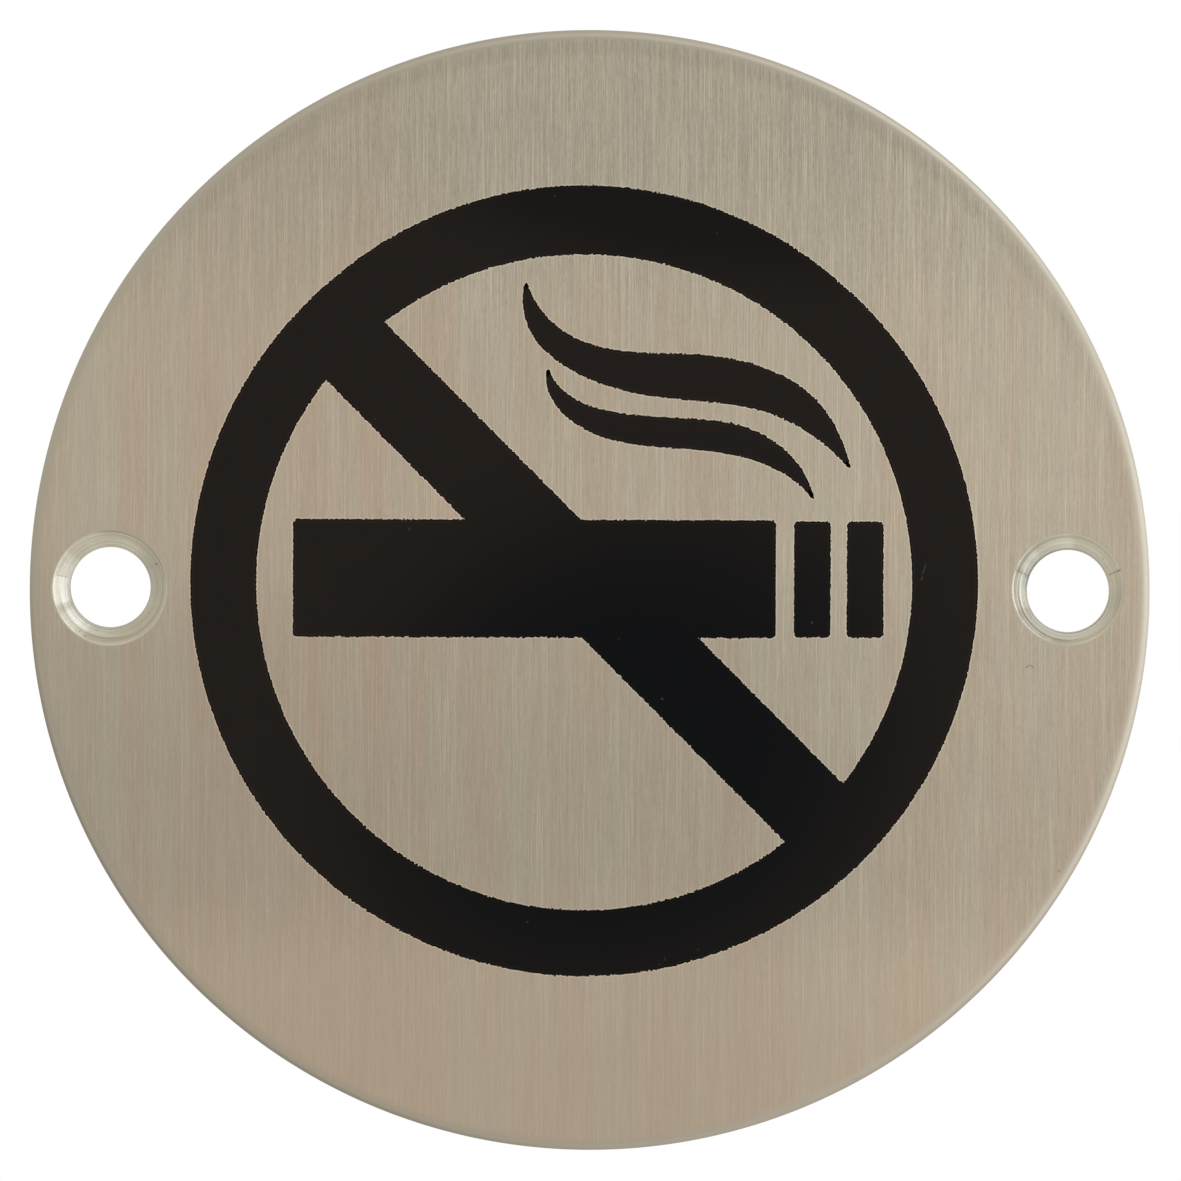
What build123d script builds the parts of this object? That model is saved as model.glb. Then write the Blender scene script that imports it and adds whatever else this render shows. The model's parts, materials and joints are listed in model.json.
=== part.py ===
# Round no smoking sign, to be screwed to a wall or a door.
#
# The plate is one disc of brushed stainless steel with a rolled front edge and two
# countersunk screw holes. The symbol is etched into its face, and black enamel fills
# each etched field flush. The ring, the slash and the cigarette's body are one joined
# field. The two bands of the ember and the two wisps of smoke are fields of their own.
#
# Millimetres. The origin is the centre of the back face, which lies on the wall.
# +Z is up, +X is to the reader's right, and the face of the sign looks towards -Y.

from build123d import *
from math import radians, tan
import os

# Plate
plate_diameter = 75.0
plate_thickness = 1.5
edge_roll_width = 0.9  # how far in from the rim the front edge is rounded
edge_roll_depth = 0.45  # how far the front edge has dropped at the rim
back_edge_break = 0.12

# Screw holes: a countersink in two steps, where the narrower cutter has gone deeper
hole_rim_distance = 5.5  # from the rim of the plate to the centre of a screw hole
hole_diameter = 5.4
countersink_angle = 90.0
seat_width = 0.75  # from the screw hole out to the step
seat_step = 0.07
mouth_width = 0.45  # from the step out to the face of the plate
mouth_round = 0.3

# Symbol: how far it sits off the centre of the plate, and how deep it is etched
symbol_shift_x = -0.37
symbol_shift_z = 0.51
etch_depth = 0.15

# Prohibition ring and slash
ring_hole_gap = 1.75  # from the ring to the screw holes' countersinks, as centred
ring_width = 4.38
ring_top_rise = 0.21  # how much thicker the ring grows towards its top
ring_top_shift = 0.85  # height of the centre of the arc that rounds its top
slash_width = 5.48
slash_angle = 45.0
slash_shift = 0.03  # right of and above the centre of the ring

# Cigarette: its middle lies a little above the centre of the ring
cigarette_height = 7.86
cigarette_lift = 0.24
filter_end_gap = 2.5  # from the ring to the unlit end
ember_end_gap = 1.96  # from the ring to the lit end
ember_band_width = 2.41
ember_band_height = 7.74
ember_band_gap = 1.12
ember_body_gap = 1.26  # from the ember to the cigarette's body
corner_round = 0.28

# Smoke: each wisp has an upper and a lower tip, and an outer and an inner edge between
# them. The points are drawn across from the centre of the ring and up from the top of
# the cigarette, and the drawing is then sized so that its highest tip clears the ring.
smoke_ring_gap = 1.73
smoke_tip_round = 0.08
upper_wisp = {
    "tips": [(-3.95, 16.06), (17.83, 3.3)],
    "outer": [(-2.82, 13.87), (-0.87, 12.28), (3.2, 11.24), (7.8, 11.07), (12.2, 10.14), (15.45, 8.1), (16.86, 6.1)],
    "inner": [(-4.08, 13.9), (-3.53, 12.41), (-1.13, 10.18), (3.1, 8.57), (7.63, 7.99), (12.13, 7.26), (16.1, 5.07)],
}
lower_wisp = {
    "tips": [(-2.5, 10.35), (15.4, 1.24)],
    "outer": [(-1.42, 8.61), (0.11, 7.73), (3.55, 7.01), (7.08, 6.79), (10.58, 6.3), (13.62, 4.51)],
    "inner": [(-2.3, 8.31), (0.26, 5.94), (3.68, 5.03), (7.23, 4.75), (10.76, 4.21), (13.98, 2.71)],
}

# Sizes that follow from the ones above
plate_radius = plate_diameter / 2
hole_x = plate_radius - hole_rim_distance
hole_radius = hole_diameter / 2
seat_radius = hole_radius + seat_width
countersink_radius = seat_radius + mouth_width

ring_outer_radius = hole_x - countersink_radius - ring_hole_gap
ring_inner_radius = ring_outer_radius - ring_width
slash_length = ring_outer_radius + ring_inner_radius

filter_end_x = filter_end_gap - ring_inner_radius
outer_band_x = ring_inner_radius - ember_end_gap - ember_band_width / 2
inner_band_x = outer_band_x - ember_band_width - ember_band_gap
body_end_x = inner_band_x - ember_band_width / 2 - ember_body_gap
cigarette_top = cigarette_lift + cigarette_height / 2
smoke_drawn_height = upper_wisp["tips"][0][1]
smoke_scale = (ring_inner_radius - smoke_ring_gap - cigarette_top) / smoke_drawn_height

# Working planes on the face of the sign: x to the reader's right, y up
face_plane = Plane(origin=(0, -plate_thickness, 0), x_dir=(1, 0, 0), z_dir=(0, -1, 0))
symbol_plane = Plane(
    origin=(symbol_shift_x, -plate_thickness, symbol_shift_z), x_dir=(1, 0, 0), z_dir=(0, -1, 0)
)


def smoke_edge(tips, points):
    """The points of one edge of a wisp, from tip to tip, placed over the cigarette."""
    first_tip, last_tip = tips
    drawn = [first_tip, *points, last_tip]
    return [(x * smoke_scale, cigarette_top + height * smoke_scale) for x, height in drawn]


def enamel_fill(name, field):
    """Fill one etched field with enamel, flush with the face of the plate."""
    with BuildPart() as fill:
        extrude(field, amount=-etch_depth)
    fill.part.label = name
    export_step(fill.part, f"parts/{name}.step")


# Etched field of the ring, the slash and the cigarette's body
with BuildSketch(symbol_plane) as prohibition_field:
    Circle(ring_outer_radius)
    with Locations((0, ring_top_shift)):
        Circle(ring_outer_radius + ring_top_rise - ring_top_shift)
    Circle(ring_inner_radius, mode=Mode.SUBTRACT)
    with Locations((slash_shift, slash_shift)):
        Rectangle(slash_length, slash_width, rotation=-slash_angle)
    with Locations(((filter_end_x + body_end_x) / 2, cigarette_lift)):
        RectangleRounded(body_end_x - filter_end_x, cigarette_height, corner_round)

# Etched fields of the ember's two bands
ember_fields = {}
for name, band_x in {"inner_ember_band_fill": inner_band_x, "outer_ember_band_fill": outer_band_x}.items():
    with BuildSketch(symbol_plane) as ember_field:
        with Locations((band_x, cigarette_lift)):
            RectangleRounded(ember_band_width, ember_band_height, corner_round)
    ember_fields[name] = ember_field.sketch

# Etched fields of the two wisps of smoke
smoke_fields = {}
for name, wisp in {"upper_smoke_fill": upper_wisp, "lower_smoke_fill": lower_wisp}.items():
    with BuildSketch(symbol_plane) as smoke_field:
        with BuildLine():
            Spline(*smoke_edge(wisp["tips"], wisp["outer"]))
            Spline(*smoke_edge(wisp["tips"], wisp["inner"]))
        make_face()
        fillet(smoke_field.vertices(), smoke_tip_round)
    smoke_fields[name] = smoke_field.sketch

fields = {"prohibition_fill": prohibition_field.sketch, **ember_fields, **smoke_fields}

# Plate: the disc is turned about its axis, then drilled, countersunk and etched
with BuildPart() as sign_plate:
    with BuildSketch(Plane.XY):
        with BuildLine():
            roll_start = (plate_radius - edge_roll_width, -plate_thickness)
            roll_end = (plate_radius, edge_roll_depth - plate_thickness)
            Polyline(
                roll_start,
                (0, -plate_thickness),
                (0, 0),
                (plate_radius - back_edge_break, 0),
                (plate_radius, -back_edge_break),
                roll_end,
            )
            TangentArc(roll_start, roll_end, tangent=(1, 0))
        make_face()
    revolve(axis=Axis.Y)

    mouth_depth = mouth_width / tan(radians(countersink_angle / 2)) + seat_step
    with Locations(face_plane):
        with GridLocations(2 * hole_x, 0, 2, 1):
            CounterSinkHole(seat_radius, countersink_radius, mouth_depth, countersink_angle)
    with Locations(face_plane.offset(-mouth_depth)):
        with GridLocations(2 * hole_x, 0, 2, 1):
            CounterSinkHole(hole_radius, seat_radius, plate_thickness, countersink_angle)

    mouths = edges().filter_by(GeomType.CIRCLE)
    mouths = mouths.filter_by(lambda edge: abs(edge.radius - countersink_radius) < seat_step)
    fillet(mouths, mouth_round)

    for field in fields.values():
        extrude(field, amount=-etch_depth, mode=Mode.SUBTRACT)

os.makedirs("parts", exist_ok=True)
sign_plate.part.label = "sign_plate"
export_step(sign_plate.part, "parts/sign_plate.step")

for name, field in fields.items():
    enamel_fill(name, field)
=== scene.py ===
# Looks of the round no smoking sign: a brushed steel plate with a black enamel symbol.
#
# Metres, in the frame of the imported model. The back of the plate lies on y = 0, its face
# looks towards -Y, +Z is up and +X is to the reader's right.

import json
import math

import bmesh
import bpy
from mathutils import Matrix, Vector, noise


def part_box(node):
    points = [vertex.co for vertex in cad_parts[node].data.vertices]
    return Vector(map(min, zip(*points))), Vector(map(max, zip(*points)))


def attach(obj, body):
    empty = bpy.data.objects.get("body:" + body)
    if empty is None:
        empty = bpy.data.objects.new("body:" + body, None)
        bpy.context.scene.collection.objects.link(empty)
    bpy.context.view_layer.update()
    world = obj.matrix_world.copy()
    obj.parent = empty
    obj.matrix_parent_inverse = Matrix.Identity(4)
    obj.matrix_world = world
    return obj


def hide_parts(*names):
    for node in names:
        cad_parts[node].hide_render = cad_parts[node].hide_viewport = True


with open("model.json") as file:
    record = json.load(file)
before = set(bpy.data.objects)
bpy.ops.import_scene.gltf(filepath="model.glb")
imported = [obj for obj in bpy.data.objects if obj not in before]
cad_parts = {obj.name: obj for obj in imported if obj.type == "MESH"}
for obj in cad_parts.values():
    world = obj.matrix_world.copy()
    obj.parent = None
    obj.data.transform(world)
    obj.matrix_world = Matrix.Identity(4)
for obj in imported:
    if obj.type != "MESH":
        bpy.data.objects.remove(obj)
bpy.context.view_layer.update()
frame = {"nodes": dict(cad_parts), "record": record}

MM = 0.001

# Sizes taken from the frame
plate_low, plate_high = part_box("sign_plate")
plate_radius = (plate_high.x - plate_low.x) / 2
face_y = plate_low.y
recess_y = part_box("prohibition_fill")[1].y
screw_holes = next(m for m in frame["record"]["mounts"] if m["name"] == "screw_holes")
hole_x = screw_holes["dims"]["spacing_x_mm"] / 2 * MM
hole_radius = screw_holes["dims"]["hole_r_mm"] * MM

# Photograph: its frame in pixels, and where the plate lies in it
photo_pixels = 1181
plate_radius_pixels = 560.2
plate_centre_pixels = (589.66, 589.94)
plate_turn = math.radians(0.2)  # clockwise, as photographed
camera_distance = 0.9
sensor_width = 36.0

# Sizes of the plate's turned edges in millimetres, as in the solid
thickness = (plate_high.y - plate_low.y) / MM
roll_width = 0.9
roll_depth = 0.45
back_break = 0.12
mouth_round = 0.3
seat_step = 0.07

# Marks that the cutters left in the screw holes, in millimetres
bore_burr = 0.03
groove_height = 0.004
groove_pitch = 0.09
groove_line = (7.0, 3.0)  # where in the noise the grooves are read
inner_line_radius = 3.16
outer_line_radius = 3.56
burnish_radius = 3.74
drift_start = 2.9  # radius from which on the outer cutter's drift shows
drift_growth = 0.5  # how much further out it shows in full


class ScrewHole:
    """A screw hole as it was made, in millimetres: where the drill went in, how far the outer
    cutter then ran off the drilled hole, the radii of the bore, the step and the mouth, and how
    light the steel of the seat and of the mouth is. These tones partly paint in how the light
    falls on each hole."""

    def __init__(self, x, drill_drift, cutter_drift, bore, seat, mouth, seat_tone, mouth_tone):
        self.centre = Vector((x / MM, 0.0)) + Vector(drill_drift)
        self.cutter_drift = Vector(cutter_drift)
        self.bore, self.seat, self.mouth = bore, seat, mouth
        self.seat_tone, self.mouth_tone = seat_tone, mouth_tone


left_hole = ScrewHole(
    x=-hole_x,
    drill_drift=(-0.11, 0.08),
    cutter_drift=(-0.02, -0.05),
    bore=hole_radius / MM - 0.02,
    seat=3.44,
    mouth=3.83,
    seat_tone=1.08,
    mouth_tone=1.03,
)
right_hole = ScrewHole(
    x=hole_x,
    drill_drift=(0.045, 0.04),
    cutter_drift=(-0.03, 0.12),
    bore=hole_radius / MM + 0.05,
    seat=3.32,
    mouth=3.74,
    seat_tone=1.15,
    mouth_tone=0.95,
)


class Shader:
    """Writes one material's nodes. The methods add nodes, and most return a node's output."""

    ridge_core = 0.3  # how much of a ridge's width is whole
    lobe_core = 0.35  # how much of a lobe's spread is whole

    def __init__(self, name):
        self.material = bpy.data.materials.new(name)
        self.material.use_nodes = True
        self.tree = self.material.node_tree
        self.tree.nodes.clear()
        self.surface = self.node("ShaderNodeBsdfPrincipled")
        output = self.node("ShaderNodeOutputMaterial")
        self.tree.links.new(self.surface.outputs["BSDF"], output.inputs["Surface"])

    def node(self, kind, **settings):
        made = self.tree.nodes.new(kind)
        for key, value in settings.items():
            setattr(made, key, value)
        return made

    def feed(self, socket, value):
        """Link a node's output to a socket, or set the socket to a plain value."""
        if isinstance(value, bpy.types.NodeSocket):
            self.tree.links.new(value, socket)
        elif socket.type == "RGBA":
            socket.default_value = (*value, 1.0)
        else:
            socket.default_value = value

    def maths(self, operation, *values, clamp=False):
        made = self.node("ShaderNodeMath", operation=operation, use_clamp=clamp)
        for socket, value in zip(made.inputs, values):
            self.feed(socket, value)
        return made.outputs[0]

    def vector(self, operation, *values):
        made = self.node("ShaderNodeVectorMath", operation=operation)
        for socket, value in zip(made.inputs, values):
            self.feed(socket, value)
        return made.outputs["Value" if operation in ("LENGTH", "DOT_PRODUCT") else "Vector"]

    def place(self):
        """The point on the surface in millimetres, in the row frame."""
        coordinates = self.node("ShaderNodeTexCoord").outputs["Object"]
        return self.vector("MULTIPLY", coordinates, (1 / MM,) * 3)

    def split(self, vector):
        made = self.node("ShaderNodeSeparateXYZ")
        self.feed(made.inputs[0], vector)
        return made.outputs

    def join(self, x, y, z):
        made = self.node("ShaderNodeCombineXYZ")
        for socket, value in zip(made.inputs, (x, y, z)):
            self.feed(socket, value)
        return made.outputs[0]

    def noise(self, place, cell, detail=1.0, shift=0.0):
        """Soft noise from 0 to 1, with cells of the given size in millimetres along each axis."""
        made = self.node("ShaderNodeTexNoise")
        scaled = self.vector("MULTIPLY", place, tuple(1 / size for size in cell))
        self.feed(made.inputs["Vector"], self.vector("ADD", scaled, (shift, shift, shift)))
        made.inputs["Scale"].default_value = 1.0
        made.inputs["Detail"].default_value = detail
        made.inputs["Roughness"].default_value = 0.5
        return made.outputs["Fac"]

    def step(self, value, start, end, low=0.0, high=1.0):
        """Runs smoothly from low to high as the value goes from start to end."""
        made = self.node("ShaderNodeMapRange", interpolation_type="SMOOTHSTEP")
        for socket, number in zip(made.inputs, (value, start, end, low, high)):
            self.feed(socket, number)
        return made.outputs[0]

    def ridge(self, value, middle, width):
        """1 where the value is at the middle, falling to 0 at the given width to either side."""
        away = self.maths("ABSOLUTE", self.maths("SUBTRACT", value, middle))
        return self.step(away, width, width * self.ridge_core)

    def lobe(self, place, degrees, spread):
        """1 on the side of the origin that a direction points to, falling to 0 a spread away."""
        turn = math.radians(degrees)
        direction = (math.cos(turn), 0.0, math.sin(turn))
        facing = self.vector("DOT_PRODUCT", self.vector("NORMALIZE", place), direction)
        limit, core = math.radians(spread), math.radians(spread * self.lobe_core)
        return self.step(facing, math.cos(limit), math.cos(core))

    def mix(self, factor, first, second):
        """Mixes two colours."""
        made = self.node("ShaderNodeMix", data_type="RGBA")
        sockets = (made.inputs[0], made.inputs[6], made.inputs[7])  # the factor and the colours
        for socket, value in zip(sockets, (factor, first, second)):
            self.feed(socket, value)
        return made.outputs[2]

    def attribute(self, name):
        return self.node("ShaderNodeAttribute", attribute_name=name).outputs["Fac"]

    def scale_colour(self, colour, factor):
        return self.vector("MULTIPLY", colour, self.join(factor, factor, factor))

    def bump(self, height, distance):
        """Bump from a height from 0 to 1, where 1 stands the distance out of the surface."""
        made = self.node("ShaderNodeBump")
        made.inputs["Strength"].default_value = 1.0
        made.inputs["Distance"].default_value = distance
        self.feed(made.inputs["Height"], height)
        return made.outputs[0]


def colour(red, green, blue):
    """A colour given as it looks on screen, from 0 to 255, as linear values for a shader."""
    def linear(value):
        value /= 255
        return value / 12.92 if value <= 0.04045 else ((value + 0.055) / 1.055) ** 2.4
    return (linear(red), linear(green), linear(blue))


# Steel

# Fine marks on the face, and in the countersinks as seen from the hole's centre, in millimetres:
# the middle's x and z, the direction in degrees, the length, the width, and how much lighter or
# darker they are
scratches = (
    (24.4, 24.0, 90, 6.5, 0.07, 0.1),
    (21.4, 20.7, 90, 5.4, 0.07, 0.08),
    (24.1, 15.7, 90, 6.0, 0.06, 0.09),
    (24.6, -15.2, 90, 4.6, 0.06, 0.12),
    (24.9, -23.5, 90, 8.0, 0.07, 0.13),
    (22.2, -25.6, 90, 5.6, 0.06, 0.08),
    (-13.0, 30.2, 90, 7.0, 0.06, 0.06),
    (2.9, 33.9, 90, 1.6, 0.1, -0.2),
    (29.33, -5.02, 40, 0.3, 0.09, -0.42),
    (29.62, -5.02, -40, 0.35, 0.09, -0.34),
    (31.5, -18.7, 90, 0.2, 0.12, -0.3),
)
left_hole_marks = (
    (-3.2, 0.72, 167, 1.0, 0.07, -0.24),
    (3.09, 1.55, 35, 0.2, 0.16, -0.35),
    (2.79, 1.37, 25, 0.16, 0.1, -0.25),
    (3.54, 0.74, 60, 0.12, 0.1, -0.25),
    (-2.02, -2.94, 40, 0.14, 0.1, -0.3),
    (-1.67, -3.28, 20, 0.16, 0.1, -0.3),
    (-0.92, -2.87, -20, 0.3, 0.07, -0.2),
)
right_hole_marks = (
    (-3.1, 1.2, 156, 1.2, 0.1, -0.25),
    (-3.25, 1.42, 150, 0.7, 0.25, -0.12),
    (3.1, 1.25, 25, 1.0, 0.08, -0.4),
    (3.4, 1.4, 25, 0.35, 0.16, -0.3),
    (1.27, 3.79, -8, 0.6, 0.1, -0.2),
    (2.36, 2.16, 45, 0.14, 0.1, -0.25),
)

# Light and shade round the countersinks: the side and the zone of the hole, the direction it
# lies in and its spread in degrees, and how much lighter or darker it is
countersink_shades = (
    ("left", "seat", 110, 85, 0.15),
    ("left", "seat", 235, 50, 0.06),
    ("left", "seat", 20, 40, -0.1),
    ("left", "mouth", 95, 55, 0.1),
    ("left", "mouth", 180, 25, 0.12),
    ("left", "lip", 115, 60, -0.22),
    ("left", "lip", 200, 60, -0.2),
    ("left", "step", 235, 75, -0.32),
    ("left", "burnish", 55, 62, -0.42),
    ("left", "inner line", 330, 75, -0.16),
    ("left", "outer line", 330, 75, -0.16),
    ("right", "seat", 90, 40, -0.04),
    ("right", "seat", 140, 55, -0.18),
    ("right", "seat", 152, 30, -0.2),
    ("right", "mouth", 55, 55, 0.16),
    ("right", "mouth", 150, 40, -0.1),
    ("right", "mouth", 240, 35, -0.08),
    ("right", "mouth", 290, 60, 0.16),
    ("right", "lip", 20, 85, -0.09),
    ("right", "lip", 140, 75, -0.13),
    ("right", "lip", 235, 60, -0.12),
    ("right", "lip", 300, 60, -0.06),
    ("right", "step", 222, 75, -0.35),
    ("right", "step", 310, 70, 0.12),
    ("right", "glint", 180, 42, 0.3),
    ("right", "inner line", 120, 60, -0.1),
    ("right", "outer line", 230, 70, -0.15),
)

# Painted reflections in bands that run from side to side over the face: the heights between
# which the tone changes, in millimetres, and the tone at each of them
painted_sheen_bands = (
    (15.0, 30.0, 0.98, 0.85),
    (5.0, -5.0, 1.0, 0.89),
    (-3.0, -14.0, 1.0, 0.945),
    (-18.0, -27.0, 1.0, 1.155),
)

# Hairlines: short ones are noise both ways. Of each longer kind, the length in millimetres, the
# shift of its noise, the values between which a line comes up, and how light or dark it is
hairline_width = 0.043
short_hairlines = (0.4, 3.0, 0.4)  # length, shift and strength
long_hairlines = (
    (2.2, 11.0, 0.45, 0.8, 0.2),
    (9.0, 23.0, 0.5, 0.78, 0.32),
    (4.0, 77.0, 0.5, 0.2, -0.12),
)


def marks_tone(s, x, z, marks):
    """What a set of fine marks multiplies the tone by. Each fades out at its ends and sides."""
    tone = 1.0
    for mark_x, mark_z, turn, length, width, change in marks:
        cos, sin = math.cos(math.radians(turn)), math.sin(math.radians(turn))
        right, up = s.maths("SUBTRACT", x, mark_x), s.maths("SUBTRACT", z, mark_z)
        along = s.maths("ADD", s.maths("MULTIPLY", right, cos), s.maths("MULTIPLY", up, sin))
        across = s.maths("MULTIPLY", up, cos)
        across = s.maths("SUBTRACT", across, s.maths("MULTIPLY", right, sin))
        sides = s.step(s.maths("ABSOLUTE", across), width * 0.75, width * 0.25)
        ends = s.step(s.maths("ABSOLUTE", along), length * 0.55, length * 0.3)
        mask = s.maths("MULTIPLY", sides, ends)
        tone = s.maths("MULTIPLY", tone, s.maths("MULTIPLY_ADD", mask, change, 1.0))
    return tone


def painted_sheen_tone(s, x, z):
    """Soft painted sheen of the sheet: painted reflections in bands from side to side, and
    painted light to the right.
    """
    # Painted light: the face grows lighter to the right
    rise = s.maths("MULTIPLY", s.step(x, 4.0, 34.0), s.step(z, 6.0, -8.0, 0.085, 0.17))
    tone = s.maths("ADD", rise, 1.0)
    # Painted reflections in bands from side to side
    for start, end, low, high in painted_sheen_bands:
        tone = s.maths("MULTIPLY", tone, s.step(z, start, end, low, high))
    return tone


def hairlines(s, place, x, z):
    """Hairlines from top to bottom: lighter above 0 and darker below it. They are strongest at
    the top right."""
    length, shift, change = short_hairlines
    short = s.noise(place, (hairline_width, 1.0, length), shift=shift)
    lines = s.maths("MULTIPLY", s.maths("SUBTRACT", short, 0.5), change)
    for length, shift, start, end, change in long_hairlines:
        line = s.step(s.noise(place, (hairline_width, 1.0, length), shift=shift), start, end)
        lines = s.maths("MULTIPLY_ADD", line, change, lines)
    strength = s.maths("ADD", s.step(z, -32.0, -16.0, 0.43, 0.9), s.step(z, 14.0, 28.0, 0.0, 0.6))
    strength = s.maths("MULTIPLY", strength, s.step(x, -35.0, 0.0, 0.75, 1.05))
    return s.maths("MULTIPLY", lines, strength)


def sheet_colour(s, place, x, z):
    """Hue of the sheet: greener to the top and warmer to the bottom and left of the middle, with
    soft bands along the hairlines."""
    band = s.noise(place, (1.6, 1.0, 30.0), detail=2.0, shift=57.0)
    band = s.step(band, 0.35, 0.65, -1.0, 1.0)
    band = s.maths("MULTIPLY", band, s.step(z, 30.0, 14.0, 0.05, 0.22))
    warm = s.maths("ADD", s.step(z, 33.0, 12.0, 0.05, 0.48), s.step(z, -14.0, -32.0, 0.0, 0.35))
    warm = s.maths("MULTIPLY_ADD", s.ridge(x, -20.0, 14.0), 0.35, s.maths("ADD", warm, band))
    face = s.mix(warm, colour(175, 167.4, 148), colour(175.4, 158.6, 137.6))
    green = s.noise(place, (0.8, 1.0, 20.0), detail=2.0, shift=91.0)
    green = s.step(green, 0.35, 0.65, 0.987, 1.006)
    return s.vector("MULTIPLY", face, s.join(1.0, green, 1.0))


class Countersinks:
    """Both screw holes as the shader sees them. The centres and the radii are those of the
    nearer hole."""

    def __init__(self, s, place, x, z, on_front):
        self.s = s
        self.place = place
        self.on_right = s.maths("GREATER_THAN", x, 0.0)
        self.x = s.maths("SUBTRACT", x, self.sided(left_hole.centre.x, right_hole.centre.x))
        self.z = s.maths("SUBTRACT", z, self.sided(left_hole.centre.y, right_hole.centre.y))
        self.from_bore = s.join(self.x, 0.0, self.z)
        self.radius = s.vector("LENGTH", self.from_bore)
        drift_x = self.sided(left_hole.cutter_drift.x, right_hole.cutter_drift.x)
        drift_z = self.sided(left_hole.cutter_drift.y, right_hole.cutter_drift.y)
        from_mouth = s.vector("SUBTRACT", self.from_bore, s.join(drift_x, 0.0, drift_z))
        self.mouth_radius = s.vector("LENGTH", from_mouth)

        # How far out past each radius the point lies
        mouth = self.sided(left_hole.mouth, right_hole.mouth)
        seat = self.sided(left_hole.seat, right_hole.seat)
        bore = self.sided(left_hole.bore, right_hole.bore)
        self.past_mouth = s.maths("SUBTRACT", self.mouth_radius, mouth)
        self.past_seat = s.maths("SUBTRACT", self.radius, seat)
        self.past_bore = s.maths("SUBTRACT", self.radius, bore)
        self.inside = s.maths("MULTIPLY", s.step(self.past_mouth, 0.12, -0.1), on_front)
        self.in_seat = s.step(self.past_seat, 0.05, -0.15)

    def sided(self, left, right):
        """A value of the left or of the right hole, chosen by side."""
        return self.s.maths("MULTIPLY_ADD", self.on_right, right - left, left)

    def shades(self):
        """What the light and shade round the holes multiply the tone by."""
        s = self.s
        sides = {"left": s.maths("SUBTRACT", 1.0, self.on_right), "right": self.on_right}
        zones = {
            "seat": self.in_seat,
            "mouth": s.maths("SUBTRACT", 1.0, self.in_seat),
            "lip": s.ridge(self.past_mouth, 0.03, 0.18),
            "step": s.ridge(self.past_seat, 0.0, 0.07),
            "glint": s.ridge(self.past_seat, -0.1, 0.09),
            "burnish": s.ridge(self.radius, burnish_radius, 0.08),
            "inner line": s.ridge(self.radius, inner_line_radius, 0.06),
            "outer line": s.ridge(self.radius, outer_line_radius, 0.06),
        }
        tone = 1.0
        for side, zone, direction, spread, change in countersink_shades:
            mask = s.maths("MULTIPLY", sides[side], zones[zone])
            mask = s.maths("MULTIPLY", mask, s.lobe(self.from_bore, direction, spread))
            tone = s.maths("MULTIPLY", tone, s.maths("MULTIPLY_ADD", mask, change, 1.0))
        return tone

    def tone(self):
        """Turned rings over the tone of each zone, with painted shade round the bore, the painted
        light and shade, and marks.
        """
        s = self.s
        ring_radius = s.maths("SUBTRACT", self.radius, self.mouth_radius)
        ring_radius = s.maths("MULTIPLY_ADD", self.in_seat, ring_radius, self.mouth_radius)
        rings = s.noise(s.join(ring_radius, 0.0, 0.0), (groove_pitch, 1.0, 1.0), shift=5.0)
        strength = s.noise(self.place, (1.8, 1.0, 1.8), shift=31.0)
        strength = s.step(strength, 0.3, 0.7, 0.25, 0.85)
        # The tone of each zone, partly painted light
        seat_tone = self.sided(left_hole.seat_tone, right_hole.seat_tone)
        mouth_tone = self.sided(left_hole.mouth_tone, right_hole.mouth_tone)
        seat_rise = s.maths("SUBTRACT", seat_tone, mouth_tone)
        zone = s.maths("MULTIPLY_ADD", self.in_seat, seat_rise, mouth_tone)
        tone = s.maths("MULTIPLY_ADD", s.maths("SUBTRACT", rings, 0.5), strength, zone)
        tone = s.maths("MULTIPLY", tone, self.shades())
        # Painted shade round the bore
        tone = s.maths("MULTIPLY", tone, s.step(self.past_bore, 0.12, 0.0, 1.0, 0.8))
        left_marks = marks_tone(s, self.x, self.z, left_hole_marks)
        right_marks = marks_tone(s, self.x, self.z, right_hole_marks)
        marks = s.step(self.on_right, 0.0, 1.0, left_marks, right_marks)
        return s.maths("MULTIPLY", tone, marks)

    def colour(self):
        """Cooler towards the bore, and coolest at the lower left."""
        s = self.s
        hue = s.mix(self.in_seat, colour(187, 181, 161), colour(188, 183, 166))
        share = s.maths("MULTIPLY_ADD", self.in_seat, 0.9, 0.1)
        cool = s.maths("MULTIPLY", s.lobe(self.from_bore, 205, 85), share)
        hue = s.mix(cool, hue, colour(188, 184, 171))
        return s.scale_colour(hue, self.tone())


def rolled_edge(s, base, from_centre, from_rim, on_rim, on_front):
    """The colour with the plainer rolled edge over it. The edge has a painted highlight along its
    right and painted shade at its lower left, and a faint band of painted shade runs inside it at
    the top right."""
    # Painted highlight along the right of the edge
    light = s.maths("MULTIPLY", s.step(from_rim, 0.5, 0.05), s.lobe(from_centre, 20, 85))
    # Painted shade at the edge's lower left
    dark = s.maths("MULTIPLY", s.step(from_rim, 0.35, 0.08), s.lobe(from_centre, 222, 55))
    tone = s.maths("MULTIPLY_ADD", dark, -0.28, s.maths("MULTIPLY_ADD", light, 0.25, 1.0))
    rim = s.scale_colour(colour(168, 159, 142), tone)
    base = s.mix(s.maths("MULTIPLY", on_rim, 0.8), base, rim)
    # A faint band of painted shade inside the edge at the top right
    band = s.maths("MULTIPLY", s.ridge(from_rim, 0.95, 1.0), s.lobe(from_centre, 75, 90))
    band = s.maths("MULTIPLY", band, on_front)
    return s.scale_colour(base, s.maths("MULTIPLY_ADD", band, -0.07, 1.0))


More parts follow.
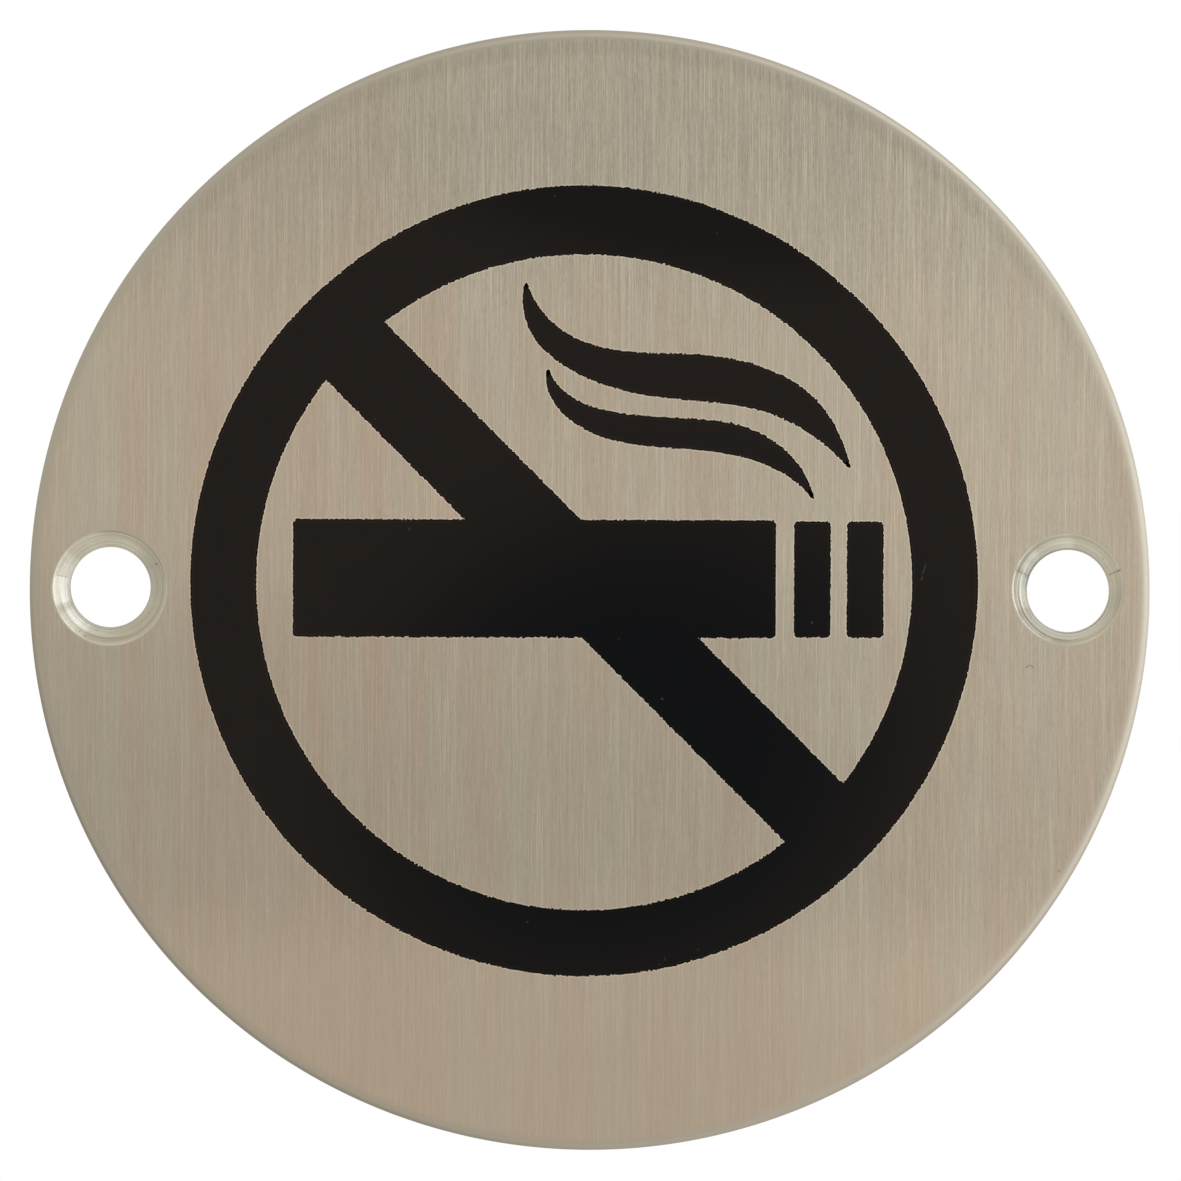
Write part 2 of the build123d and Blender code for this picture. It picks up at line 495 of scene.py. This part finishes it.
def brushed_steel():
    """Satin steel, with hairlines from top to bottom on the face and turned marks round the
    screw holes."""
    grain_depth = 0.95  # how far the hairlines swing the tone
    grain_height = 0.003 * MM
    painted_fringe_lift = 0.55  # how much lighter the painted light fringe makes the steel along the etched fields
    s = Shader("brushed_steel")
    place = s.place()
    x, y, z = s.split(place)
    from_centre = s.join(x, 0.0, z)
    radius = s.vector("LENGTH", from_centre)
    on_front = s.step(y, -0.02, -0.1)
    countersinks = Countersinks(s, place, x, z, on_front)
    from_rim = s.maths("SUBTRACT", plate_radius / MM, radius)
    on_rim = s.maths("MULTIPLY", s.step(from_rim, 0.8, 0.3), on_front)
    flat = s.maths("SUBTRACT", 1.0, s.maths("MAXIMUM", countersinks.inside, on_rim))
    grain = s.maths("MULTIPLY", hairlines(s, place, x, z), flat)

    grain_tone = s.maths("MULTIPLY_ADD", grain, grain_depth, 1.0)
    # The face's painted sheen, with its grain
    tone = s.maths("MULTIPLY", painted_sheen_tone(s, x, z), grain_tone)
    # Painted light fringe along the etched fields
    tone = s.maths("MULTIPLY", tone, s.maths("MULTIPLY_ADD", s.attribute("edge"), painted_fringe_lift, 1.0))
    marks = marks_tone(s, x, z, scratches)
    tone = s.maths("MULTIPLY", tone, s.step(on_front, 0.0, 1.0, 1.0, marks))
    face = s.scale_colour(sheet_colour(s, place, x, z), tone)
    base = s.mix(countersinks.inside, face, countersinks.colour())
    base = rolled_edge(s, base, from_centre, from_rim, on_rim, on_front)
    s.feed(s.surface.inputs["Base Color"], base)

    s.surface.inputs["Metallic"].default_value = 1.0
    roughness = s.maths("MULTIPLY_ADD", grain, 0.3, 0.42)
    roughness = s.maths("SUBTRACT", roughness, s.maths("MULTIPLY", countersinks.inside, 0.22))
    s.feed(s.surface.inputs["Roughness"], roughness)
    anisotropy = s.maths("MULTIPLY_ADD", countersinks.inside, 0.2, 0.7)
    s.feed(s.surface.inputs["Anisotropic"], anisotropy)
    radial = s.vector("NORMALIZE", countersinks.from_bore)
    s.feed(s.surface.inputs["Tangent"], s.mix(countersinks.inside, (1.0, 0.0, 0.0), radial))
    s.feed(s.surface.inputs["Normal"], s.bump(s.maths("MULTIPLY", grain, flat), grain_height))
    return s.material


# Enamel

# Neutral patches in the black: how the lower one is squeezed and slanted, where the middle of
# each lies, in millimetres, and the distances from it over which the brown returns
patch_squeeze = 0.92
patch_slant = -0.14
low_patch = (3.7, 0.0, -10.9)
low_patch_reach = (8.0, 23.8)
top_patch = (14.0, 0.0, 78.0)
top_patch_reach = (54.0, 60.0)

# Light nicks and specks, given as the marks on the steel are, but the last number is how far
# each is mixed with a plain grey
nicks = (
    (22.38, 1.45, 71, 0.9, 0.09, 0.3),
    (22.24, 0.85, 62, 0.3, 0.1, 0.4),
    (5.11, -24.67, 80, 0.3, 0.12, 0.15),
    (4.75, -25.03, 20, 0.24, 0.1, 0.15),
    (14.88, -2.13, 45, 0.2, 0.15, 0.25),
    (-12.07, 4.03, 80, 0.2, 0.12, 0.25),
    (4.88, -7.27, 90, 0.14, 0.12, 0.5),
    (-2.42, 26.36, 90, 0.16, 0.12, 0.2),
    (-4.1, -22.22, 60, 0.16, 0.12, 0.25),
    (8.43, 23.92, 90, 0.18, 0.1, 0.15),
    (7.33, -24.06, 90, 0.18, 0.12, 0.15),
    (-14.42, 11.4, 90, 0.16, 0.1, 0.18),
    (2.0, -3.25, 90, 0.18, 0.1, 0.15),
)


def black_enamel():
    """Semi-gloss black, of a brown cast but for two soft neutral patches, with fine dimples. It
    is a little lighter along its edges, and a dark brown line runs round them."""
    s = Shader("black_enamel")
    place = s.place()
    x, y, z = s.split(place)
    slanted = s.maths("MULTIPLY_ADD", z, patch_slant, s.maths("MULTIPLY", x, patch_squeeze))
    from_low_patch = s.vector("SUBTRACT", s.join(slanted, 0.0, z), low_patch)
    from_top_patch = s.vector("SUBTRACT", s.join(x, 0.0, z), top_patch)
    brown = s.step(s.vector("LENGTH", from_low_patch), *low_patch_reach)
    under_top = s.step(s.vector("LENGTH", from_top_patch), *top_patch_reach, 0.38, 1.0)
    brown = s.maths("MULTIPLY", brown, under_top)
    mottle = s.noise(place, (1.5, 1.5, 1.5), detail=3.0, shift=7.0)
    brown = s.maths("MULTIPLY", brown, s.maths("MULTIPLY_ADD", mottle, 0.2, 0.9))
    base = s.mix(brown, colour(6, 7, 9), colour(33, 27, 22))
    edge = s.attribute("edge")
    base = s.scale_colour(base, s.maths("MULTIPLY_ADD", s.ridge(edge, 0.35, 0.35), 0.5, 1.0))
    nicked = s.maths("SUBTRACT", marks_tone(s, x, z, nicks), 1.0, clamp=True)
    base = s.mix(nicked, base, colour(95, 98, 100))
    base = s.mix(s.step(edge, 0.5, 0.85), base, colour(6, 2, 0))
    s.feed(s.surface.inputs["Base Color"], base)

    dimple_depth = 0.004 * MM
    s.feed(s.surface.inputs["Roughness"], s.maths("MULTIPLY_ADD", mottle, 0.1, 0.3))
    s.surface.inputs["Specular IOR Level"].default_value = 0.07
    s.feed(s.surface.inputs["Normal"], s.bump(mottle, dimple_depth))
    return s.material


# Outlines of the etched fields: those of the frame's solids, with the uneven edge of etching

weld_distance = 0.0001 * MM
edge_step = 0.045 * MM  # spacing of the points round an outline
edge_spread = 0.026 * MM  # how far the etching has eaten past the drawn outline
even_wave = (0.11 * MM, 0.07 * MM)  # length and height of the waves of every edge
groove_wave = (0.1 * MM, 0.11 * MM)  # the same where the edge crosses the hairlines
groove_drag = 0.3  # how fast those waves change along the hairlines, against across them
groove_slice = 50.0  # of the noise, well away from that of the even waves
halo_width = 0.09 * MM  # of the painted light fringe round a field
sharp_turn = math.radians(75)  # the least bend of a corner
room_growth = 0.35  # how fast the room for a band along the edge grows from a corner on


def outlines(node):
    """The closed outlines of a field's front face, as lists of (x, z) points."""
    mesh = bmesh.new()
    mesh.from_mesh(frame["nodes"][node].data)
    bmesh.ops.remove_doubles(mesh, verts=mesh.verts, dist=weld_distance)
    front = {face for face in mesh.faces if face.normal.y < -0.9}
    after = {}
    for face in front:
        for loop in face.loops:
            if len(front.intersection(loop.edge.link_faces)) == 1:
                after[loop.vert.index] = loop.link_loop_next.vert.index
    places = {vert.index: (vert.co.x, vert.co.z) for vert in mesh.verts}
    mesh.free()
    found = []
    while after:
        index = next(iter(after))
        loop = []
        while index in after:
            loop.append(places[index])
            index = after.pop(index)
        found.append(divide(loop))
    return found


def divide(loop):
    """The same outline with points no further apart than the edge's step."""
    points = []
    for (x0, z0), (x1, z1) in zip(loop, loop[1:] + loop[:1]):
        count = max(1, math.ceil(math.hypot(x1 - x0, z1 - z0) / edge_step))
        for i in range(count):
            points.append(Vector((x0 + (x1 - x0) * i / count, z0 + (z1 - z0) * i / count)))
    return points


class Edge:
    """One outline of an etched field: its points, and at each of them the direction out of the
    field and how much room a band along the edge has before it meets the band round a corner."""

    def __init__(self, loop):
        self.outward = []
        for i, following in enumerate(loop[1:] + loop[:1]):
            along = following - loop[i - 1]
            self.outward.append(Vector((along.y, -along.x)).normalized())
        sides = zip(loop, self.outward)
        self.points = [point + out * self.wave(point, out) for point, out in sides]
        self.room = self.room_along(loop)

    def wave(self, point, out):
        """How far the edge strays outwards at a point."""
        length, height = even_wave
        strays = edge_spread + height * noise.noise(Vector((*point, 0.0)) / length)
        length, height = groove_wave
        across = Vector((point.x / length, groove_drag * point.y / length, groove_slice))
        return strays + height * abs(out.y) * noise.noise(across)

    def room_along(self, loop):
        """The room at each point of a loop. It grows with the way from the nearest corner."""
        out = self.outward
        count = len(loop)
        turns = [out[i - 2].angle(out[(i + 2) % count], 0.0) for i in range(count)]
        room = [math.inf] * count
        for step in (1, -1):
            reach = math.inf
            for k in range(2 * count):
                i = k * step % count
                reach += room_growth * (loop[i] - loop[(i - step) % count]).length
                reach = 0.0 if turns[i] > sharp_turn else reach
                room[i] = min(room[i], reach)
        return room

    def shifted(self, shift):
        """The outline moved out of the field by a shift, or into it by a negative one."""
        least = 0.002 * MM
        moved = []
        for point, out, room in zip(self.points, self.outward, self.room):
            reach = min(abs(shift), max(room, least))
            moved.append(point + out * math.copysign(reach, shift))
        return moved

    def contains(self, point):
        """Whether a point lies inside the outline."""
        inside = False
        for first, second in zip(self.points, self.points[1:] + self.points[:1]):
            if (first.y > point.y) != (second.y > point.y):
                share = (point.y - first.y) / (second.y - first.y)
                inside ^= first.x + share * (second.x - first.x) > point.x
        return inside

    def extent(self):
        return max(point.x for point in self.points) - min(point.x for point in self.points)


field_nodes = sorted(node for node in frame["nodes"] if node.endswith("_fill"))
fields = {node: [Edge(loop) for loop in outlines(node)] for node in field_nodes}


# Mesh helpers

def add_ring(mesh, points, y, mark=None):
    """A closed ring of points in a plane parallel to the face. A mark is a layer of the mesh,
    which is given 1 at each of them."""
    ring = [mesh.verts.new((x, y, z)) for x, z in points]
    if mark is not None:
        for vert in ring:
            vert[mark] = 1.0
    return ring


def join_rings(mesh, first, second, smooth=True):
    """Faces between two rings of as many points."""
    for i in range(len(first)):
        face = mesh.faces.new((first[i - 1], first[i], second[i], second[i - 1]))
        face.smooth = smooth


def fill(mesh, rings):
    """Fill the flat area between rings, by even and odd."""
    edges = [mesh.edges.get((ring[i - 1], ring[i])) for ring in rings for i in range(len(ring))]
    made = bmesh.ops.triangle_fill(mesh, use_beauty=True, edges=edges, normal=(0, -1, 0))
    for item in made["geom"]:
        if isinstance(item, bmesh.types.BMFace):
            item.smooth = False


def add_piece(mesh, name, material, node):
    """Make an object of a mesh, which stands for a node of the frame and rides on its body."""
    crease = math.radians(30)
    bmesh.ops.recalc_face_normals(mesh, faces=mesh.faces)
    for edge in mesh.edges:
        edge.smooth = edge.calc_face_angle(0.0) < crease
    data = bpy.data.meshes.new(name)
    mesh.to_mesh(data)
    mesh.free()
    data.materials.append(material)
    piece = bpy.data.objects.new(name, data)
    bpy.context.scene.collection.objects.link(piece)
    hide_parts(node)
    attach(piece, "root")


def rim_profile():
    """Points (radius, depth) from the face over the rolled edge to the back."""
    steps = 16
    swing = 2 * math.atan2(roll_depth, roll_width)
    arc = roll_width / math.sin(swing)
    start = plate_radius / MM - roll_width
    turns = [swing * i / steps for i in range(steps + 1)]
    points = [(start + arc * math.sin(turn), arc * (1 - math.cos(turn))) for turn in turns]
    rim = start + roll_width
    return points + [(rim, thickness - back_break), (rim - back_break, thickness)]


def hole_profile(hole):
    """Points (radius, depth) from the face down both steps of the countersink to the back."""
    steps = 6
    spacing = 0.03
    slope = math.radians(45)
    face_radius = hole.mouth + mouth_round * math.tan(slope / 2)
    points = []
    for i in range(steps + 1):
        turn = slope * i / steps
        radius = face_radius - mouth_round * math.sin(turn)
        points.append((radius, mouth_round * (1 - math.cos(turn))))

    # Each cone: its outer and inner radius, how far it is let down, and its first new point
    upper_cone = (points[-1][0], hole.seat, 0.0, 1)
    lower_cone = (hole.seat, hole.bore + bore_burr, seat_step, 0)
    for outer, inner, drop, first in (upper_cone, lower_cone):
        count = round((outer - inner) / spacing)
        for i in range(first, count + 1):
            radius = outer + (inner - outer) * i / count
            groove = groove_height * noise.noise(Vector((radius / groove_pitch, *groove_line)))
            points.append((radius, hole.mouth - radius + drop + groove))
    depth = hole.mouth - hole.bore + seat_step
    return points + [(hole.bore, depth + bore_burr), (hole.bore, thickness)]


def turned(mesh, profile, count, centre=Vector((0.0, 0.0)), drift=Vector((0.0, 0.0))):
    """Turn a profile round an axis through the plate. The drift moves the profile's outer part.
    Returns the first and the last ring."""
    rings = []
    for radius, depth in profile:
        drifted = min(1.0, max(0.0, (radius - drift_start) / drift_growth))
        middle = centre + drift * drifted
        points = []
        for i in range(count):
            angle = math.tau * i / count
            around = Vector((math.cos(angle), math.sin(angle)))
            points.append((middle + around * radius) * MM)
        rings.append(add_ring(mesh, points, face_y + depth * MM))
    for first, second in zip(rings, rings[1:]):
        join_rings(mesh, first, second)
    return rings[0], rings[-1]


def steel_plate():
    """The plate, with its etched recesses, rolled edge and turned countersinks."""
    rim_count = 900
    hole_count = 360
    mesh = bmesh.new()
    mark = mesh.verts.layers.float.new("edge")
    rim = turned(mesh, rim_profile(), rim_count)
    holes = []
    for hole in (left_hole, right_hole):
        profile = hole_profile(hole)
        holes.append(turned(mesh, profile, hole_count, hole.centre, hole.cutter_drift))

    collars = {}
    for edges in fields.values():
        floors = []
        for edge in edges:
            top = add_ring(mesh, edge.points, face_y, mark)
            collars[edge] = add_ring(mesh, edge.shifted(halo_width), face_y)
            floor = add_ring(mesh, edge.points, recess_y)
            join_rings(mesh, top, collars[edge], smooth=False)
            join_rings(mesh, top, floor)
            floors.append(floor)
        fill(mesh, floors)

    # The face, round the symbol and then in each opening of it
    symbol = fields["prohibition_fill"]
    outline = max(symbol, key=Edge.extent)
    openings = {edge: [collars[edge]] for edge in symbol}
    for edge, collar in collars.items():
        if edge not in openings:
            inner = (e for e in symbol if e is not outline)
            around = next(e for e in inner if e.contains(edge.points[0]))
            openings[around].append(collar)
    openings[outline] += [rim[0], holes[0][0], holes[1][0]]
    for rings in openings.values():
        fill(mesh, rings)
    fill(mesh, [rim[1], holes[0][1], holes[1][1]])
    add_piece(mesh, "steel_plate", brushed_steel(), "sign_plate")


# Enamel fields

skin_gap = 0.002 * MM  # between the enamel and the wall of its recess
border_width = 0.24 * MM  # of the band along the edge over which the mark fades

# The rounded edge: how far in from the wall each ring of points lies, and how far up
edge_round = (
    (0.0, 0.0),
    (0.004 * MM, 0.004 * MM),
    (0.014 * MM, 0.007 * MM),
)


def enamel_field(node, material):
    """The enamel in one recess. It stands a few thousandths of a millimetre out of the face."""
    mesh = bmesh.new()
    mark = mesh.verts.layers.float.new("edge")
    bottoms = []
    tops = []
    for edge in fields[node]:
        ring = add_ring(mesh, edge.shifted(-skin_gap), recess_y - skin_gap)
        bottoms.append(ring)
        for inset, rise in edge_round:
            upper = add_ring(mesh, edge.shifted(-skin_gap - inset), face_y - rise, mark)
            join_rings(mesh, ring, upper)
            ring = upper
        inner = add_ring(mesh, edge.shifted(-border_width), face_y - edge_round[-1][1])
        join_rings(mesh, ring, inner, smooth=False)
        tops.append(inner)
    fill(mesh, bottoms)
    fill(mesh, tops)
    add_piece(mesh, node.replace("_fill", "_enamel"), material, node)


steel_plate()
enamel = black_enamel()
for node in fields:
    enamel_field(node, enamel)


# Surroundings

# The soft lamps: the name, the angle round the face, anticlockwise from the reader's right, and
# the angle out of the face, both in degrees, then the distance, width, height and radiance
softboxes = (
    ("right_light", 3, 18, 0.4, 0.16, 0.25, 1.5),
    ("side_light", 12, 20, 0.5, 0.3, 0.9, 0.8),
    ("upper_light", 85, 25, 0.7, 0.9, 0.3, 0.35),
    ("lower_light", -60, 15, 0.4, 0.3, 0.4, 0.35),
    ("upper_right_light", 50, 14, 0.4, 0.2, 0.25, 0.7),
    ("lower_right_light", -32, 22, 0.4, 0.2, 0.2, 0.8),
)
lamp_colour = (0.8, 0.86, 1.0)


def seen(tree, *kinds):
    """1 for rays of any of these kinds, as a node's output."""
    path = tree.nodes.new("ShaderNodeLightPath")
    any_kind = path.outputs[kinds[0]]
    for kind in kinds[1:]:
        either = tree.nodes.new("ShaderNodeMath")
        either.operation = "MAXIMUM"
        tree.links.new(any_kind, either.inputs[0])
        tree.links.new(path.outputs[kind], either.inputs[1])
        any_kind = either.outputs[0]
    return any_kind


def plain_floor():
    """A pale floor well below the sign. It keeps the sign's shadow and fades into the white
    background, and the steel reflects it as white."""
    floor_drop = 0.45
    half = 1.5
    fade_start, fade_end = 0.12, 0.6
    s = Shader("pale_floor")
    s.feed(s.surface.inputs["Base Color"], (0.8, 0.8, 0.79))
    s.surface.inputs["Roughness"].default_value = 0.8
    x, y, z = s.split(s.node("ShaderNodeTexCoord").outputs["Object"])
    fade = s.step(s.vector("LENGTH", s.join(x, y, 0.0)), fade_start, fade_end)
    fade = s.maths("MULTIPLY", fade, seen(s.tree, "Is Camera Ray"))
    white = s.maths("MAXIMUM", fade, seen(s.tree, "Is Glossy Ray", "Is Transmission Ray"))
    glow = s.node("ShaderNodeEmission")
    glow.inputs["Strength"].default_value = 1.0
    blend = s.node("ShaderNodeMixShader")
    output = next(node for node in s.tree.nodes if node.type == "OUTPUT_MATERIAL")
    s.tree.links.new(white, blend.inputs[0])
    s.tree.links.new(s.surface.outputs[0], blend.inputs[1])
    s.tree.links.new(glow.outputs[0], blend.inputs[2])
    s.tree.links.new(blend.outputs[0], output.inputs["Surface"])
    data = bpy.data.meshes.new("floor")
    corners = [(-half, -half, 0.0), (half, -half, 0.0), (half, half, 0.0), (-half, half, 0.0)]
    data.from_pydata(corners, [], [(0, 1, 2, 3)])
    floor = bpy.data.objects.new("floor", data)
    floor.location.z = plate_low.z - floor_drop
    bpy.context.scene.collection.objects.link(floor)
    data.materials.append(s.material)


def white_background():
    """A world that is white where it is seen or reflected, and softer as a light."""
    ambient = 0.6
    world = bpy.data.worlds.new("studio")
    bpy.context.scene.world = world
    world.use_nodes = True
    tree = world.node_tree
    tree.nodes.clear()
    soft, white = (tree.nodes.new("ShaderNodeBackground") for _ in range(2))
    soft.inputs["Strength"].default_value = ambient
    white.inputs["Strength"].default_value = 1.0
    for background in (soft, white):
        background.inputs["Color"].default_value = (1.0, 1.0, 1.0, 1.0)
    mix = tree.nodes.new("ShaderNodeMixShader")
    output = tree.nodes.new("ShaderNodeOutputWorld")
    plain = seen(tree, "Is Camera Ray", "Is Glossy Ray", "Is Transmission Ray")
    tree.links.new(plain, mix.inputs[0])
    tree.links.new(soft.outputs[0], mix.inputs[1])
    tree.links.new(white.outputs[0], mix.inputs[2])
    tree.links.new(mix.outputs[0], output.inputs["Surface"])


def softbox(name, across, above, distance, width, height, radiance):
    """A soft lamp aimed at the sign. Across is its angle round the face, and above is its angle
    out of the face."""
    across, above = math.radians(across), math.radians(above)
    data = bpy.data.lights.new(name, "AREA")
    data.shape = "RECTANGLE"
    data.size = width
    data.size_y = height
    data.energy = math.pi * width * height * radiance
    data.color = lamp_colour
    lamp = bpy.data.objects.new(name, data)
    bpy.context.scene.collection.objects.link(lamp)
    sideways = math.cos(above)
    away = Vector((math.cos(across) * sideways, -math.sin(above), math.sin(across) * sideways))
    lamp.location = away * distance
    lamp.rotation_mode = "QUATERNION"
    lamp.rotation_quaternion = (-away).to_track_quat("-Z", "Y")
    lamp.visible_camera = False


def camera():
    """Straight on, with the plate placed and turned in the frame as photographed."""
    size = plate_radius / plate_radius_pixels  # of a pixel, in metres, at the plate
    centre_x, centre_y = plate_centre_pixels
    data = bpy.data.cameras.new("camera")
    data.sensor_width = sensor_width
    data.lens = sensor_width * camera_distance / (photo_pixels * size)
    made = bpy.data.objects.new("camera", data)
    made.location = (
        (photo_pixels / 2 - centre_x) * size,
        face_y - camera_distance,
        (centre_y - photo_pixels / 2) * size,
    )
    made.rotation_euler = (math.pi / 2, -plate_turn, 0.0)
    bpy.context.scene.collection.objects.link(made)
    bpy.context.scene.camera = made


plain_floor()
white_background()
for lamp in softboxes:
    softbox(*lamp)
camera()
bpy.context.scene.view_settings.view_transform = "Standard"
